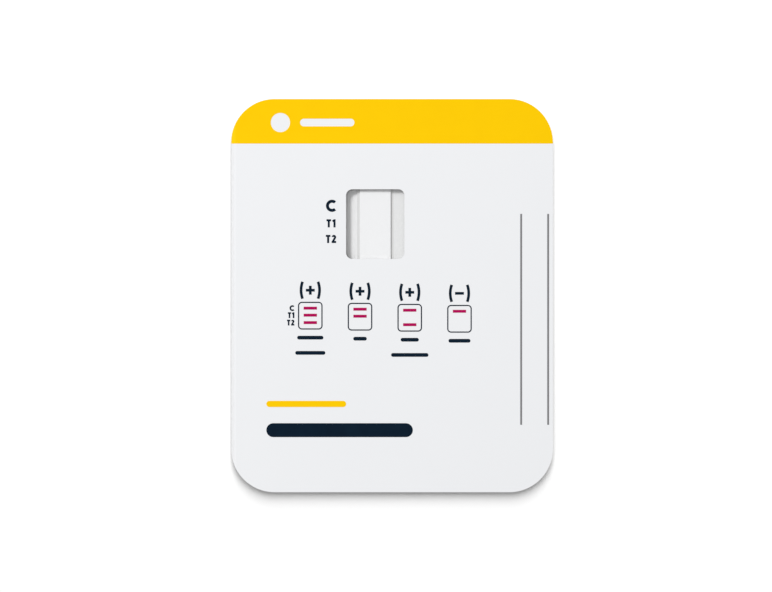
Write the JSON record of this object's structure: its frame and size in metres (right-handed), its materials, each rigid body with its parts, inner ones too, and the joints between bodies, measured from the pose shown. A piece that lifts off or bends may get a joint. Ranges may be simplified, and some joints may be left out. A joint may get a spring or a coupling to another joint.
{
  "type": "lateral flow test card",
  "caption": "Book-shaped lateral flow test card of printed board, closed: a folded cover, a window, and inside it a test strip, end pads and a closing adhesive.",
  "frame": {"origin": "middle of the closed card's outline, on the flat it lies on", "axes": "+X from the fold to the open edge, +Y to the head with the coloured band, +Z out of the printed front face"},
  "size_m": [0.0834, 0.102, 0.0031],
  "materials": {
    "cover_board": "satin",
    "lining_board": "matte",
    "strip_tape": "matte",
    "strip_backing": "satin",
    "membrane": "matte",
    "sample_pad": "matte",
    "white_pad": "matte",
    "clear_film": "gloss",
    "adhesive": "gloss",
    "liner_paper": "gloss",
    "yellow_ink": "satin",
    "navy_ink": "satin",
    "magenta_ink": "satin",
    "grey_ink": "satin"
  },
  "bodies": {
    "back_leaf": {"back_cover": "cover_board", "back_lining": "lining_board", "strip_tape": "strip_tape", "strip_backing": "strip_backing", "membrane": "membrane", "sample_pad": "sample_pad", "reagent_pad": "white_pad", "absorbent_pad": "white_pad", "sealing_adhesive": "adhesive", "release_liner": "liner_paper"},
    "spine_strip": {"spine": "cover_board"},
    "front_leaf": {"front_cover": "cover_board", "front_lining": "lining_board", "window_film": "clear_film", "wash_pad": "white_pad", "waste_pad": "white_pad", "yellow_ink": "yellow_ink", "navy_ink": "navy_ink", "magenta_ink": "magenta_ink", "grey_ink": "grey_ink"}
  },
  "joints": [
    {"name": "back_fold", "type": "hinge", "parent": "back_leaf", "child": "spine_strip", "pos_m": [-0.04134, 0, 0.00041], "axis": [0, -1, 0], "range_deg": [0, 90]},
    {"name": "front_fold", "type": "hinge", "parent": "spine_strip", "child": "front_leaf", "pos_m": [-0.04134, 0, 0.00269], "axis": [0, -1, 0], "range_deg": [0, 90]}
  ]
}
